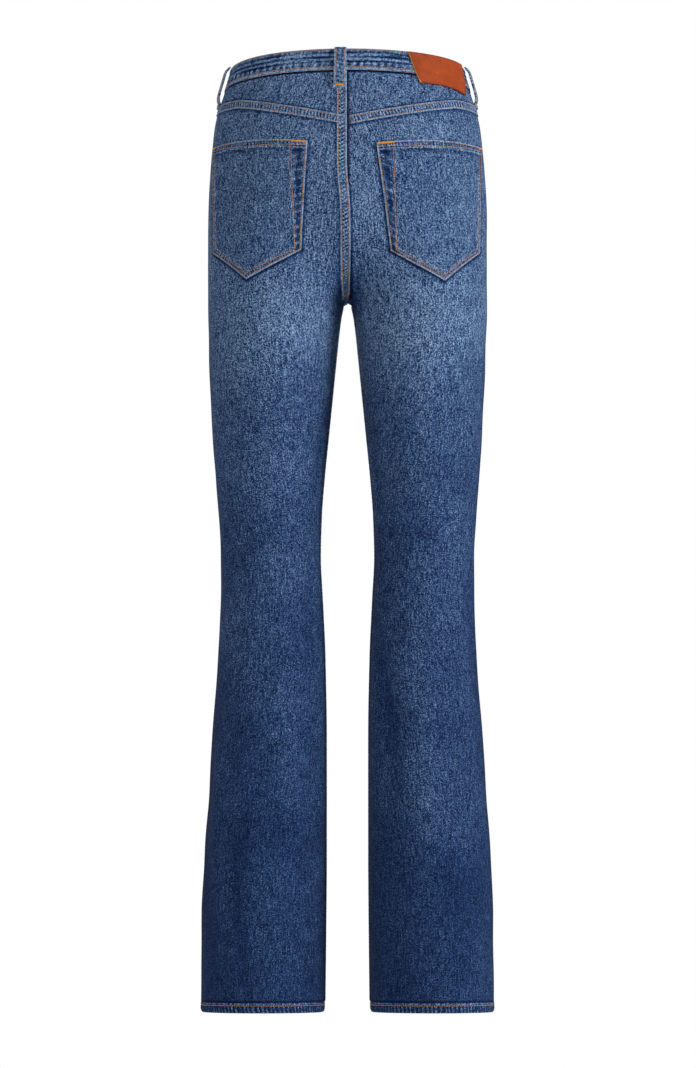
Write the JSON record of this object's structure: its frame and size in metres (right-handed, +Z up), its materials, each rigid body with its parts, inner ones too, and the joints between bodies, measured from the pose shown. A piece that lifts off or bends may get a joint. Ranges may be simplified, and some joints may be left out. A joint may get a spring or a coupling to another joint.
{
  "type": "flared jeans",
  "caption": "Hollow, filled-out flared jeans with an open waist and open hems: waistband, belt loops, yoke, back pockets, scooped front pockets, fly, button and leather patch.",
  "frame": {"origin": "middle of the waist opening, level with its edge at the side seams", "axes": "+X to the wearer's right, +Y to the wearer's front, +Z up"},
  "size_m": [0.3438, 0.2276, 1.1195],
  "materials": {
    "denim": "washed indigo twill, faded on the seat and thighs",
    "denim_trim": "washed indigo twill, folded and edge-stitched",
    "thread": "twisted topstitching thread",
    "leather": "smooth cognac hide with burnished edges",
    "metal": "aged copper-coloured shank button"
  },
  "bodies": {
    "root": {"back_panel_right": "denim", "back_panel_left": "denim", "front_panel_right": "denim", "front_panel_left": "denim", "yoke_right": "denim", "yoke_left": "denim", "front_pocket_facing_right": "denim", "front_pocket_facing_left": "denim", "back_pocket_right": "denim", "back_pocket_left": "denim", "waistband": "denim_trim", "belt_loop_back": "denim_trim", "belt_loop_side_right": "denim_trim", "belt_loop_side_left": "denim_trim", "belt_loop_front_right": "denim_trim", "belt_loop_front_left": "denim_trim", "leather_patch": "leather", "fly_flap": "denim", "button": "metal"}
  },
  "joints": []
}
